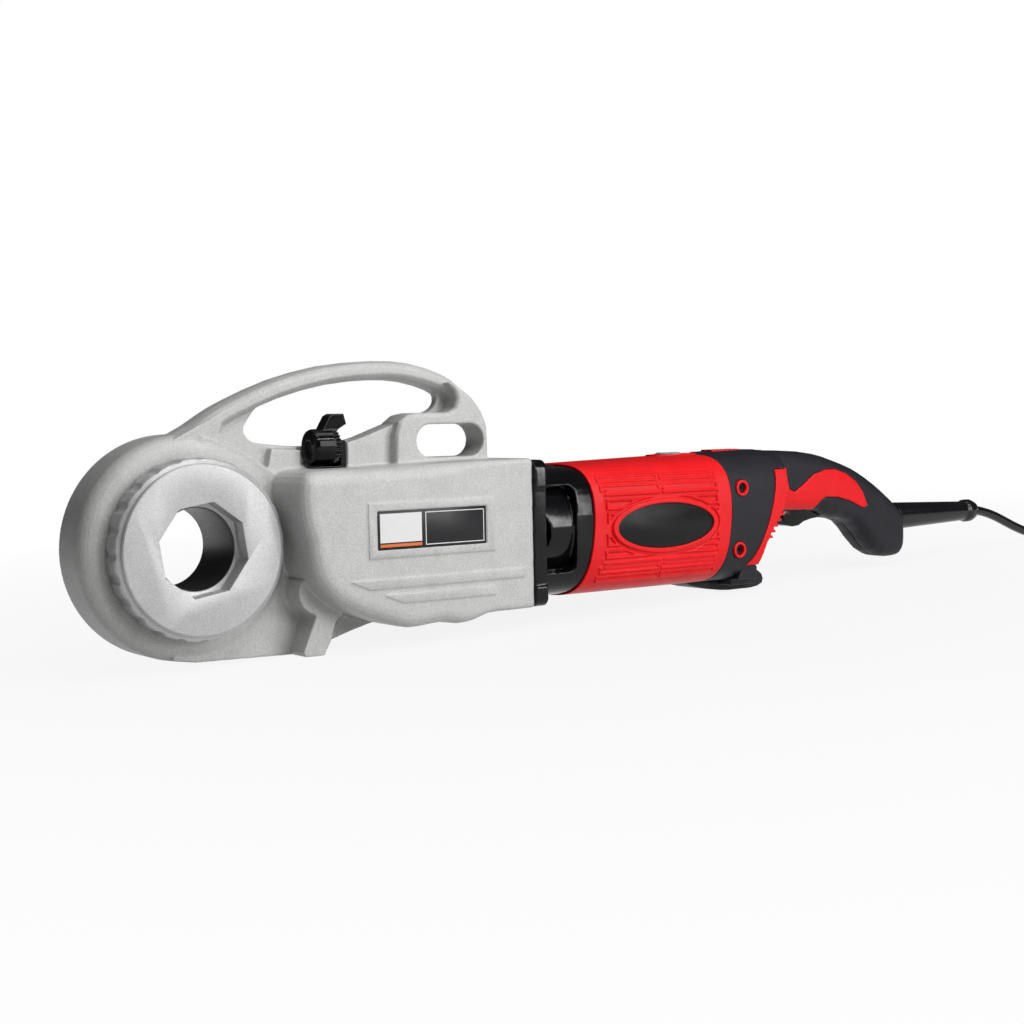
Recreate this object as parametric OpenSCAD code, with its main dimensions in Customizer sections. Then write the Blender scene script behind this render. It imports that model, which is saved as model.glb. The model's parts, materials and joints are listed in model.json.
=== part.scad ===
// Hand-held power pipe threader: cast gear head with a carrying arch, in-line motor,
// rear grip with trigger, and mains lead.
//
// Frame of the tool: the drive axis is Y and passes through the origin, X runs along
// the motor towards the grip, Z is up. The head stands on its heel and the motor on its
// foot, so place() leans the whole tool back about the drive axis by the angle that the
// two contacts give. The lead lies on that floor.

/* [Head] */
// Radius of the round head
head_r = 73; // [70:0.5:78]
// Front face of the head
head_front = -15; // [-18:0.5:-12]
// Rear face of the head and of the main casting
head_rear = 24.5; // [22:0.5:28]
// Radius of the rounded front shoulder of the head
head_round = 11; // [6:0.5:14]
// Wall of the head around the ring gear
head_wall = 6; // [5:0.5:8]
// Depth of the underside below the drive axis, at the heel
heel_z = 75; // [73:0.5:80]
// Distance of the heel's end from the drive axis
heel_x = 88; // [82:1:96]

/* [Drive ring] */
// Radius of the drive ring's front face
ring_face_r = 54.7; // [52:0.1:56]
// Radius of the drive ring's scalloped rim
ring_rim_r = 58.2; // [57:0.1:60]
// Front face of the drive ring
ring_front = -35; // [-38:0.5:-32]
// Length of the scalloped rim
ring_rim_len = 17.5; // [14:0.5:18]
// Number of scallops around the rim
scallops = 24; // [16:1:30]
// Distance across the corners of the die head socket
socket_corners = 62.4; // [58:0.1:64]
// Depth of the die head socket
socket_depth = 13; // [10:0.5:16]
// Radius of the round bore behind the socket
bore_r = 26.5; // [24:0.1:27.5]
// Radius of the journal that turns in the bushes
journal_r = 46; // [44:0.5:48]

/* [Gears] */
// Module of the ring gear and its pinion
ring_module = 2.5; // [2.4:0.05:2.5]
// Teeth of the ring gear
ring_teeth = 50; // [49:1:51]
// Teeth of the pinion that drives the ring gear
cross_teeth = 12; // [11:1:13]
// Module of the bevel gears
bevel_module = 1.5; // [1.4:0.05:1.6]
// Teeth of the large bevel gear
bevel_teeth = 36; // [34:1:38]
// Teeth of the bevel pinion
bevel_pinion_teeth = 12; // [11:1:13]
// Module of the first gear pair
motor_module = 1; // [0.9:0.05:1.05]
// Teeth of the armature pinion
motor_teeth = 10; // [10:1:12]
// Teeth of the gear that the armature drives
counter_teeth = 30; // [28:1:32]

/* [Gear case] */
// Front face of the gear case
case_front = -56; // [-58:0.5:-52]
// End of the gear case at the motor
case_end = 241; // [238:0.5:250]
// Half height of the gear case at the motor
case_half = 50; // [48:0.5:54]
// Wall of the gear case
case_wall = 5; // [4:0.5:6]
// Depth of the rear cover
cover_depth = 13.5; // [12:0.5:16]

/* [Carrying arch] */
// Height of the arch above the drive axis
arch_top = 120; // [116:1:130]
// Thickness of the arch bar, seen from the side
bar_h = 13.4; // [12:0.5:16]
// Width of the arch bar, front to back
bar_w = 27; // [24:1:32]
// Front face of the arch's rear block
block_front = -20; // [-22:0.5:-16]
// Rear face of the arch's rear block
block_rear = 3.5; // [2:0.5:6]
// Length of the slot in the rear block
slot_len = 56; // [48:1:58]
// Height of the slot in the rear block
slot_h = 23; // [18:0.5:25]

/* [Motor] */
// Depth of the motor axis behind the drive ring's middle plane, to the front
motor_y = -9; // [-10:0.5:-8]
// Half width of the motor housing
motor_half_w = 49; // [48:0.5:50]
// Height of the motor's top where the housing starts
motor_top_front = 45; // [44:0.5:47]
// Height of the motor's top where the wide body ends
motor_top_rear = 50; // [49:0.5:52]
// Depth of the motor's underside
motor_bottom = 51; // [50:0.5:53]
// Thickness of the motor flange
flange_t = 10.5; // [9:0.5:12]
// Middle of the motor housing's front edge
housing_start = 295; // [290:1:300]
// Middle of the motor housing's rear edge
housing_end = 428.5; // [426:0.5:429]
// Radius of the curved ends of the motor housing
edge_r = 128; // [120:1:140]
// Rear end of the wide motor body at its top
body_end = 491; // [486:1:496]
// Depth of the foot below the drive axis
foot_z = 60; // [58:0.5:64]
// Middle of the foot
foot_x = 470; // [466:1:474]

/* [Grip] */
// Rear end of the grip
grip_end = 661.5; // [661:0.5:668]
// Half width of the grip
grip_half_w = 19; // [17:0.5:22]
// Diameter of the mains lead
cord_d = 8; // [7:0.5:8.5]
// Length of the strain relief
relief_len = 108.5; // [90:0.5:112]

/* [Hidden] */
$fn = 64;

// Clearances
run_gap = 0.05;        // a shaft in its bush, on the radius
move_gap = 0.5;        // between a moving piece and what it moves past
seat_gap = 0.3;        // between a piece and the pocket that it drops into
eps = 0.01;

// ---- Attitude on the floor ----
lean = atan((heel_z - foot_z) / (foot_x - heel_x));
floor_z = -(heel_x * sin(lean) + heel_z * cos(lean));
module place() rotate([0, lean, 0]) children();

// ---- Gear train ----
pressure = 25;
lash = 0.22;
idler_teeth = cross_teeth;
idler_x = ring_module * (ring_teeth + idler_teeth) / 2;
cross_x = idler_x + ring_module * (idler_teeth + cross_teeth) / 2;
bevel_r = bevel_module * bevel_teeth / 2;
bevel_pinion_r = bevel_module * bevel_pinion_teeth / 2;
counter_y = motor_y - motor_module * (motor_teeth + counter_teeth) / 2;
ring_tip = ring_module * (ring_teeth / 2 + 1);
cross_tip = ring_module * (cross_teeth / 2 + 1);
// The idler shows the cross pinion a gap when its teeth are even in number, else a tooth
cross_turn = idler_teeth % 2 == 0 ? 180 : 180 + 180 / cross_teeth;
gear_y = [-7, 13];             // the ring gear, idler and pinion, front to back
pinion_x = [200, 213];         // the first gear pair, along the motor
bevel_share = 0.3;             // share of the cone length that the bevel teeth take
idler_pin_r = 6;
shaft_r = 6;
shaft_seat_r = 5;
bearing_r = 10;
bearing_t = 7;

// ---- Gear case ----
cover_rear = head_rear + cover_depth;
cavity_r = ring_tip + 1.5;
web_y = [head_front, head_front + head_wall];    // wall between the two gear chambers
bush_t = 4;
bush_r = journal_r + bush_t;
retainer_y = [18.5, 22.3];
retainer_r = cavity_r + 2.8;
snap_y = [22.4, 23.9];
snap_r = [retainer_r - 4, retainer_r + 1.2];
chamber_x = [71, case_end - 6];                  // the gear chambers, along the motor
chamber_z = [-41, 39];
web_end = 143;
bridge_x = [web_end, web_end + 9];
cover_screw_at = [[72, 40], [79, -26], [125, 44], [125, -49], [180, 44.5], [180, -51], [233, 44.5],
    [233, -48]];
screw_r = 2.5;
screw_head_r = 4.2;

// ---- Motor ----
flange_end = case_end + flange_t;
motor_bore = 43;
armature_r = 24;
core_x = [300, 360];
commutator_x = [372, 392];
fan_x = [400, 410];
front_bearing_x = [flange_end - 8.5, flange_end - 1.5];
rear_bearing_x = [414, 421];
bore_end = 413;
edge_z = 8;                    // height of the middle of the motor housing's curved ends
badge_mid = [362.5, -2.5];
badge_size = [46.5, 16.5];
ring_size = [52.5, 20.5];
flange_bolt_r = 36;

// ---- Grip ----
handle_y = motor_y;
relief_z = -12.5;
trigger_pivot = [561, 3];
trigger_half_w = 7;

// ---- Lead ----
// Points of the free stretch of the lead, on the floor's own level frame
cord_points = [[766, -9, -42.7], [772, -9, -43.2], [785, -9, -46], [800, -9, -51], [815, -9, -57.5],
    [830, -9, -64], [845, -9.5, -69.5], [860, -11, -73.2], [875, -14, -74.3], [890, -19, -74.3],
    [904, -24.2, -74.3], [917, -29, -74.3]];
coil_mid = [963, 1];
coil_r = 44;
coil_rows = [3, 2];            // turns side by side, and on each other
plug_at = [1030, coil_mid[1] - coil_r];
plug_z = floor_z + 9;

// ---- Helpers ----
function unit(v) = v / norm(v);
function total(v, i = 0) = i < len(v) - 1 ? v[i] + total(v, i + 1) : v[i];
function mean(v) = total(v) / len(v);

// Point at t on the curve from b to c, with a before and d after them
function curve_at(a, b, c, d, t) =
    b + ((c - a) * t + (2 * a - 5 * b + 4 * c - d) * t * t + (3 * b - a - 3 * c + d) * t * t * t) / 2;

// Smooth line through the points p, with n steps between neighbours
function smooth_open(p, n) = [
    for (i = [0 : len(p) - 2]) for (k = [0 : n - 1])
        curve_at(p[max(i - 1, 0)], p[i], p[i + 1], p[min(i + 2, len(p) - 1)], k / n),
    p[len(p) - 1]
];
function smooth_loop(p, n) = let (m = len(p)) [
    for (i = [0 : m - 1]) for (k = [0 : n - 1])
        curve_at(p[(i + m - 1) % m], p[i], p[(i + 1) % m], p[(i + 2) % m], k / n)
];

// Outline p, which runs clockwise, drawn in by d
function inset(p, d) = let (m = len(p)) [
    for (i = [0 : m - 1]) let (t = unit(p[(i + 1) % m] - p[(i + m - 1) % m])) p[i] + d * [t[1], -t[0]]
];

// Rounded box of half sizes a and b, with n points; e sets how square it is
function soft_box(a, b, e, n) = [
    for (i = [0 : n - 1]) let (c = cos(360 * (i + 0.5) / n), s = sin(360 * (i + 0.5) / n))
        [a * sign(c) * pow(abs(c), 2 / e), b * sign(s) * pow(abs(s), 2 / e)]
];

// Closed skin through rings of points, which all have the same number of points
module skin(rings) {
    n = len(rings[0]);
    m = len(rings);
    first = mean(rings[0]);
    last = mean(rings[m - 1]);
    points = [for (r = rings) each r, first, last];
    around = total([for (i = [0 : n - 1]) cross(rings[0][i] - first, rings[0][(i + 1) % n] - first)]);
    sides = [
        for (j = [0 : m - 2]) for (i = [0 : n - 1])
            let (a = j * n + i, b = j * n + (i + 1) % n) each [[a, b, b + n], [a, b + n, a + n]]
    ];
    ends = [
        for (i = [0 : n - 1]) let (k = (i + 1) % n)
            each [[m * n, k, i], [m * n + 1, (m - 1) * n + i, (m - 1) * n + k]]
    ];
    // Every face runs clockwise, seen from outside
    polyhedron(points, [for (f = concat(sides, ends)) around * (last - first) > 0 ? [f[2], f[1], f[0]] : f],
        convexity = 6);
}

// Slab seen from the front, between two depths
module slab(y0, y1) translate([0, y1, 0]) rotate([90, 0, 0]) linear_extrude(y1 - y0) children();

// Slab seen from the grip's end, between two places along the motor
module along_x(x0, x1) translate([x0, 0, 0]) rotate([90, 0, 90]) linear_extrude(x1 - x0) children();

module rod_y(y0, y1, r, x = 0, z = 0) translate([x, y1, z]) rotate([90, 0, 0]) cylinder(h = y1 - y0, r = r);
module rod_x(x0, x1, r, y = motor_y, z = 0) translate([x0, y, z]) rotate([0, 90, 0]) cylinder(h = x1 - x0, r = r);

// Box between two corners
module block(a, b) translate(a) cube(b - a);

// ---- Gear teeth ----
function involute(a) = tan(a) * 180 / PI - a;
// Half the angle that a tooth takes at radius r
function tooth_half(r, teeth, m) =
    let (pitch = m * teeth / 2, base = pitch * cos(pressure), a = r > base ? acos(base / r) : 0)
    90 / teeth - lash / pitch * 90 / PI + involute(pressure) - involute(a);

function tooth_radii(teeth, m) =
    let (p = m * teeth / 2) [p - 1.25 * m, max(p * cos(pressure), p - 0.8 * m), p, p + 0.5 * m, p + m];

module spur(teeth, m) {
    radii = tooth_radii(teeth, m);
    n = len(radii);
    polygon([
        for (i = [0 : teeth - 1]) for (side = [-1, 1]) for (k = [0 : n - 1])
            let (r = radii[side < 0 ? k : n - 1 - k], a = 360 * i / teeth + side * tooth_half(r, teeth, m))
            r * [cos(a), sin(a)]
    ]);
}

// Large end of a bevel gear, in the plane at the distance reach from where the axes meet
module bevel_face(teeth, m, reach) {
    cone = norm([m * teeth / 2, reach]);
    delta = atan(m * teeth / 2 / reach);
    like = teeth / cos(delta);
    steps = [-1.2 * m, -0.6 * m, 0, 0.5 * m, 0.95 * m];
    n = len(steps);
    polygon([
        for (i = [0 : teeth - 1]) for (side = [-1, 1]) for (k = [0 : n - 1])
            let (
                h = steps[side < 0 ? k : n - 1 - k],
                tilt = delta + h / cone * 180 / PI,
                r = m * like / 2 + h,
                half = r * tooth_half(r, like, m) / (cone * sin(tilt)),
                a = 360 * i / teeth + side * half
            )
            reach * tan(tilt) * [cos(a), sin(a)]
    ]);
}

// ---- Casting ----
// Outline of the gear case, clockwise
case_outline = [
    [case_end + 20, -case_half - 4], [220, -54.5], [203, -55], [191, -59], [179, -60.5], [166, -58.5],
    [154, -59.5], [140, -60], [124, -56], [103, -48.5], [84, -38.5], [71, -24], [66.5, -11], [65, 0],
    [61.5, 13], [59, 27], [60, 40], [66, 46.5], [78, 48], [96, 48], [132, 48.5], [160, 49.5],
    [205, 50.5], [case_end + 20, case_half + 1]
];
// Front round of the gear case: wide over the gears, narrow at the motor
function case_round(x) = 3 + 6 / (1 + exp((x - 188) / 9));
arch_outer = [
    [-4, 73], [14, 84], [30, 92.7], [65, 106.8], [103, 116], [143, arch_top], [171, 118], [199, 109.5],
    [218, 98.5], [227, 86], [230, 77]
];
// Middle line of the arch bar, front view
arch_line = smooth_open([
    [-12, 70.5], [4, 78.3], [18, 86.9], [34, 95], [66, 107.7], [104, 117], [143, arch_top + 0.4],
    [172, 118.9], [199, 111.6], [213, 102.5], [222, 92]
], 2);
arch_opening = [
    [48, 81], [45, 74.5], [50, 67.5], [62, 65], [84, 63.3], [110, 65], [131, 68.2], [158, 77.5],
    [170, 82.5], [187, 84.3], [195.5, 90], [195, 98], [186, 104], [168, 107.8], [148, 109], [122, 107.8],
    [94, 103.8], [67, 95.8], [56, 90.3]
];
block_outline = [
    [152, 44], [152.5, 70], [155.5, 78], [162, 82.5], [170, 84], [196, 84], [201.5, 87], [203.5, 93], [202, 99],
    [196, 105], [201, 104.8], [204.5, 102.3], [216.3, 94.4], [224.4, 84.2], [227.8, 77], [229, 71], [229, 44]
];
slot_mid = [197, 64.5];
latch_x = [86, 113];           // the latch's base on top of the case, along the motor
latch_y = -11;
latch_z = 62.4;
latch_drum_r = 12;
latch_pin_r = 4;
latch_floor = 48;              // height of the seat under the latch
label_mid = [157, 6.7];
label_size = [88, 27];
label_frame_t = 6;

module obround(length, height) {
    for (s = [-1, 1]) translate([s * (length - height) / 2, 0]) circle(r = height / 2);
    square([length - height, height], center = true);
}

// Front half of the gear case with its rounded edge
module case_shell() {
    loop = smooth_open(case_outline, 2);
    rings = concat(
        [for (k = [0 : 4]) let (a = 90 * k / 4)
            [for (i = [0 : len(loop) - 1]) let (
                r = case_round(loop[i][0]),
                t = unit(loop[(i + 1) % len(loop)] - loop[(i + len(loop) - 1) % len(loop)]),
                q = loop[i] + r * (1 - sin(a)) * [t[1], -t[0]]
            ) [q[0], case_front + r * (1 - cos(a)), q[1]]]],
        [[for (q = loop) [q[0], head_rear, q[1]]]]
    );
    intersection() {
        skin(rings);
        block([0, case_front - 1, -100], [case_end, head_rear + 1, 100]);
    }
}

// Round head with its rolled front shoulder
module head_solid() rotate([90, 0, 0]) rotate_extrude($fn = 96) polygon(concat(
    [[0, -head_rear], [head_r - 2, -head_rear], [head_r, -head_rear + 2]],
    [for (k = [0 : 6]) let (a = 90 * k / 6)
        [head_r - head_round * (1 - cos(a)), -head_front - head_round * (1 - sin(a))]],
    [[0, -head_front]]
));

// Bar of the carrying arch, swept along its middle line
module arch_bar() {
    rings = [for (i = [0 : len(arch_line) - 1]) let (
        p = arch_line[i],
        t = unit(arch_line[min(i + 1, len(arch_line) - 1)] - arch_line[max(i - 1, 0)]),
        up = [-t[1], t[0]]
    ) [for (q = soft_box(bar_w / 2, bar_h / 2, 2.6, 12))
        [p[0] + up[0] * (q[1] - bar_h / 2), 1 + q[0], p[1] + up[1] * (q[1] - bar_h / 2)]]];
    skin(rings);
}

module casting_solid() {
    head_solid();
    // Flat tail of the head, down to the heel and along under the gear case
    slab(head_front + 2, head_rear - 0.5) polygon([
        [0, 0], [-14, -71.2], [2, -73.6], [30, -74.3], [70, -heel_z], [heel_x, -heel_z], [95, -70],
        [117, -63.3], [135, -58.7], [160, -50], [160, 40], [66, 44], [40, 61], [10, 72]
    ]);
    // Heel rib and the gusset above it
    slab(-33, 0) polygon([
        [69, -72], [71, -heel_z], [85, -heel_z], [90, -66], [94, -53], [104, -44], [90, -38], [76, -28],
        [69, -24], [67, -30], [67.3, -36], [70, -42], [74, -45.5], [79.5, -48]
    ]);
    case_shell();
    // Thin web that fills the corners of the arch
    slab(-3.5, block_rear) difference() {
        polygon(concat([for (p = smooth_open(arch_outer, 2)) p - [0, bar_h / 2]], [[226, 44], [40, 44], [0, 60]]));
        polygon(smooth_loop(arch_opening, 3));
    }
    // Wall between the arch's opening and the gear case
    slab(-12, 6) polygon([
        [118, 44], [118, 64.8], [131, 68.2], [158, 77.5], [170, 79], [170, 44]
    ]);
    slab(-9, 6) polygon([[58, 44], [62, 62], [84, 60.8], [110, 62], [125, 62], [125, 44]]);
    // Root of the arch, flush with the head
    slab(-12.5, 14) polygon([[-8, 70], [8, 78], [22, 84], [26, 79], [23.5, 73], [27, 67], [40, 60], [20, 50], [0, 60]]);
    arch_bar();
    slab(block_front + 1.5, block_rear) polygon(block_outline);
    slab(block_front, block_rear) polygon(inset(block_outline, 1.5));
    // Lug beside the latch
    block([81, -22, 44], [86.5, -12, 47.5]);
    // Raised frame around the label, and two raised stripes
    slab(case_front - 0.8, case_front + 2) translate(label_mid) difference() {
        square(label_size + 2 * [label_frame_t, label_frame_t - 1.5], center = true);
        square(label_size, center = true);
    }
    slab(case_front - 0.8, case_front + 2) {
        polygon([[93.5, -25.8], [232, -25.8], [232, -31.5], [107.5, -31.5]]);
        polygon([[119, -36.3], [207, -36.3], [207, -42], [133, -42]]);
    }
}

// Outline of the gear chambers, front view
module chamber() polygon([
    [chamber_x[0], 31], [chamber_x[0] + 7, chamber_z[1]], [chamber_x[1], chamber_z[1]],
    [chamber_x[1], chamber_z[0]], [130, chamber_z[0]], [104, -36.5], [84, -26.5], [chamber_x[0], -9]
]);

module gear_housing() color("silver") difference() {
    union() {
        difference() {
            casting_solid();
            slab(case_front + case_wall, web_y[0]) chamber();
        }
        // Boss for the front bearing of the cross shaft
        rod_y(case_front + 1, -44, bearing_r + 4, cross_x);
    }
    rod_y(-51, -40, bearing_r, cross_x);
    // Room for the ring gear, its bushes, the retainer and the snap ring
    rod_y(web_y[1], head_rear + 1, cavity_r);
    rod_y(retainer_y[0], head_rear + 1, retainer_r);
    rod_y(snap_y[0], snap_y[1], snap_r[1]);
    rod_y(head_front - 1, web_y[1] + 1, bush_r);
    // Room for the idler and the cross pinion
    rod_y(web_y[1], head_rear - 5, cross_tip + 2, idler_x);
    slab(web_y[1], head_rear + 1) chamber();
    slab(web_y[0] - 1, web_y[1] + 1) intersection() {
        chamber();
        translate([web_end, -100]) square([200, 200]);
    }
    // Seats in the wall between the chambers
    rod_y(web_y[0] - 1, web_y[1] + 1, bearing_r, cross_x);
    rod_y(web_y[0] - 1, web_y[1] + 1, idler_pin_r, idler_x);
    // Way through to the motor, and the flange's screw holes
    rod_x(chamber_x[1] - 1, case_end + 1, 30);
    at_flange_bolts() rod_x(chamber_x[1] - 1, case_end + 1, screw_r, 0);
    for (p = cover_screw_at) rod_y(head_rear - 16, head_rear + 1, screw_r, p[0], p[1]);
    slab(block_front - 1, block_rear + 1) translate(slot_mid) obround(slot_len, slot_h);
    // Room for the latch in front of the arch
    rod_x(latch_x[0] - 2, latch_x[1] - 4, latch_drum_r + 1.2, latch_y, latch_z);
    block([latch_x[0] + 2, latch_y - 8.6, latch_floor], [latch_x[1] + 0.1, latch_y + 9.1, latch_z + 14]);
}

module rear_cover() color("silver") {
    loop = smooth_open(case_outline, 2);
    r = 5;
    rings = concat(
        [[for (q = loop) [q[0], head_rear, q[1]]]],
        [for (k = [0 : 3]) let (a = 90 * k / 3)
            [for (q = inset(loop, r * (1 - cos(a)))) [q[0], cover_rear - r * (1 - sin(a)), q[1]]]]
    );
    difference() {
        intersection() {
            skin(rings);
            block([0, head_rear - 1, -100], [case_end, cover_rear + 1, 100]);
        }
        slab(head_rear - 1, cover_rear - 4) difference() {
            chamber();
            translate([cross_x, 0]) circle(r = bearing_r + 4);
            translate([idler_x, 0]) circle(r = idler_pin_r + 4);
        }
        rod_y(head_rear - 1, cover_rear - 4, bearing_r, cross_x);
        rod_y(head_rear - 1, cover_rear - 6, idler_pin_r, idler_x);
        for (p = cover_screw_at) {
            rod_y(head_rear - 1, cover_rear + 1, screw_r, p[0], p[1]);
            rod_y(cover_rear - 4, cover_rear + 1, screw_head_r + 0.2, p[0], p[1]);
        }
    }
}

// Cap screw along Y with its head towards the rear
module cap_screw_y(tip, head, r, head_r, head_t, x, z) {
    rod_y(tip, head + eps, r, x, z);
    difference() {
        rod_y(head, head + head_t, head_r, x, z);
        rod_y(head + head_t / 2, head + head_t + 1, head_r * 0.55, x, z, $fn = 6);
    }
}

module cover_screws() color("dimgray")
    for (p = cover_screw_at)
        cap_screw_y(head_rear - 15, cover_rear - 4, screw_r - run_gap, screw_head_r, 4, p[0], p[1]);

module ring_retainer() color("silver") difference() {
    rod_y(retainer_y[0], retainer_y[1], retainer_r - run_gap);
    rod_y(retainer_y[0] - 1, retainer_y[1] + 1, bush_r);
}

module snap_ring() color("gray") difference() {
    rod_y(snap_y[0] + 0.05, snap_y[1] - 0.05, snap_r[1] - 0.1);
    rod_y(snap_y[0] - 1, snap_y[1] + 1, snap_r[0]);
    // Gap that lets the ring close, with its two ears at the top
    block([-4, snap_y[0] - 1, snap_r[0] - 2], [4, snap_y[1] + 1, snap_r[1] + 2]);
}

module bush(y0, y1, flange_y0) color("goldenrod") difference() {
    union() {
        rod_y(y0 - eps, y1, bush_r - run_gap);
        if (flange_y0 < y0) rod_y(flange_y0, y0, bush_r + 4);
    }
    rod_y(y0 - 5, y1 + 1, journal_r + run_gap);
}
module front_bush() bush(web_y[0], web_y[1], ring_front + ring_rim_len + seat_gap);
module rear_bush() bush(retainer_y[0], retainer_y[1], retainer_y[0]);

// Face of the drive ring: chamfered disc with a scalloped rim and a square-shouldered socket
module drive_ring() color("lightgray") {
    rim_end = ring_front + ring_rim_len;
    difference() {
        union() {
            // Plain front disc with its chamfered edge
            rotate([90, 0, 0]) rotate_extrude($fn = 120) polygon([
                [0, -ring_front], [ring_face_r - 1, -ring_front], [ring_face_r, -ring_front - 1],
                [ring_face_r, -ring_front - 2.5], [ring_rim_r - 1, -ring_front - 3.5],
                [ring_rim_r, -ring_front - 5], [ring_rim_r, -rim_end], [0, -rim_end]
            ]);
            rod_y(rim_end - eps, 24, journal_r);
        }
        // Scallops, open to the front of the rim
        for (i = [0 : scallops - 1]) {
            a = 360 * i / scallops;
            scallop_r = 7;
            rod_y(ring_front + 3, rim_end + eps, scallop_r,
                (ring_rim_r + scallop_r - 1.3) * cos(a), (ring_rim_r + scallop_r - 1.3) * sin(a));
        }
        rod_y(ring_front + socket_depth - eps, 25, bore_r);
        // Eight-sided seat for a die head
        slab(ring_front - 1, ring_front + socket_depth) rotate(31.4) circle(r = socket_corners / 2, $fn = 8);
    }
}

module ring_gear() color("dimgray") slab(gear_y[0], gear_y[1]) difference() {
    spur(ring_teeth, ring_module);
    circle(r = journal_r + eps, $fn = 96);
}

module idler_pin() color("gray") {
    rod_y(web_y[0], cover_rear - 6.2, idler_pin_r - 0.02, idler_x);
}

module idler_gear() color("dimgray") difference() {
    slab(gear_y[0], gear_y[1]) translate([idler_x, 0]) rotate(180 + 180 / idler_teeth) spur(idler_teeth, ring_module);
    rod_y(gear_y[0] - 1, gear_y[1] + 1, idler_pin_r + run_gap, idler_x);
}

module cross_pinion() color("dimgray") difference() {
    slab(gear_y[0], gear_y[1]) translate([cross_x, 0]) rotate(cross_turn) spur(cross_teeth, ring_module);
    rod_y(gear_y[0] - 1, gear_y[1] + 1, shaft_r + eps, cross_x);
}

module cross_shaft() color("gray") {
    rod_y(-43.8, 26.8, shaft_r, cross_x);
    rod_y(-50.8, -43, shaft_seat_r, cross_x);
    rod_y(26, cover_rear - 4.3, shaft_seat_r, cross_x);
}

module bevel_gear() color("dimgray") {
    height = bevel_pinion_r * bevel_share;
    face_y = counter_y - bevel_pinion_r;
    difference() {
        union() {
            translate([cross_x, face_y, 0]) rotate([-90, 0, 0])
                linear_extrude(height, scale = 1 - bevel_share) bevel_face(bevel_teeth, bevel_module, bevel_pinion_r);
            rod_y(face_y - 3.5, face_y + eps, bevel_r - 5, cross_x);
            rod_y(face_y + height - eps, face_y + height + 4, shaft_r + 4, cross_x);
        }
        rod_y(face_y - 5, face_y + 12, shaft_r + eps, cross_x);
    }
}

module bearing_y(y0, x, z, inner, outer) color("gainsboro") rotate_bearing(y0, x, z) ring_profile(inner, outer);
// Ball bearing's outline about its own axis: two races with a shielded gap
module ring_profile(inner, outer) rotate_extrude() {
    difference() {
        translate([inner, 0]) square([outer - inner, bearing_t]);
        for (y = [-eps, bearing_t - 0.6]) translate([inner + (outer - inner) * 0.3, y])
            square([(outer - inner) * 0.4, 0.6 + eps]);
    }
}
module rotate_bearing(y0, x, z) translate([x, y0, z]) rotate([-90, 0, 0]) children();
module bearing_x(x0, y, z, inner, outer) color("gainsboro") translate([x0, y, z]) rotate([0, 90, 0]) ring_profile(inner, outer);

module cross_bearings() {
    bearing_y(-51, cross_x, 0, shaft_seat_r + run_gap, bearing_r - eps);
    bearing_y(web_y[0] - 0.5, cross_x, 0, shaft_r + run_gap, bearing_r - eps);
    bearing_y(cover_rear - 4 - bearing_t, cross_x, 0, shaft_seat_r + run_gap, bearing_r - eps);
}

// Bevel pinion and the counter shaft that it is cut on
module counter_shaft() color("gray") {
    base_x = cross_x + bevel_r;
    translate([base_x, counter_y, 0]) rotate([0, -90, 0])
        linear_extrude(bevel_r * bevel_share, scale = 1 - bevel_share)
            rotate(270 + 180 / bevel_pinion_teeth) bevel_face(bevel_pinion_teeth, bevel_module, bevel_r);
    rod_x(base_x - eps, front_bearing_x[1], shaft_seat_r, counter_y);
}

module counter_gear() color("dimgray") difference() {
    translate([0, counter_y, 0]) along_x(pinion_x[0], pinion_x[1]) rotate(180 / counter_teeth) spur(counter_teeth, motor_module);
    rod_x(pinion_x[0] - 1, pinion_x[1] + 1, shaft_seat_r + eps, counter_y);
}

module counter_bearings() {
    bearing_x(bridge_x[0] + 1, counter_y, 0, shaft_seat_r + run_gap, 9 - eps);
    bearing_x(front_bearing_x[0], counter_y, 0, shaft_seat_r + run_gap, 9 - eps);
}

// Plate across the gear case that carries the counter shaft's front bearing
module bearing_bridge() color("darkgray") difference() {
    block([bridge_x[0], case_front + case_wall, chamber_z[0]], [bridge_x[1], head_rear, chamber_z[1]]);
    rod_x(bridge_x[0] + 1, bridge_x[1] + 1, 9, counter_y);
    rod_x(bridge_x[0] - 1, bridge_x[1] + 1, shaft_seat_r + 2, counter_y);
    rod_x(bridge_x[0] - 1, bridge_x[1] + 1, 9, motor_y + 18);
}

module label_plate() color("whitesmoke")
    slab(case_front - 0.5, case_front) translate(label_mid) square(label_size - [1, 1], center = true);

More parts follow.
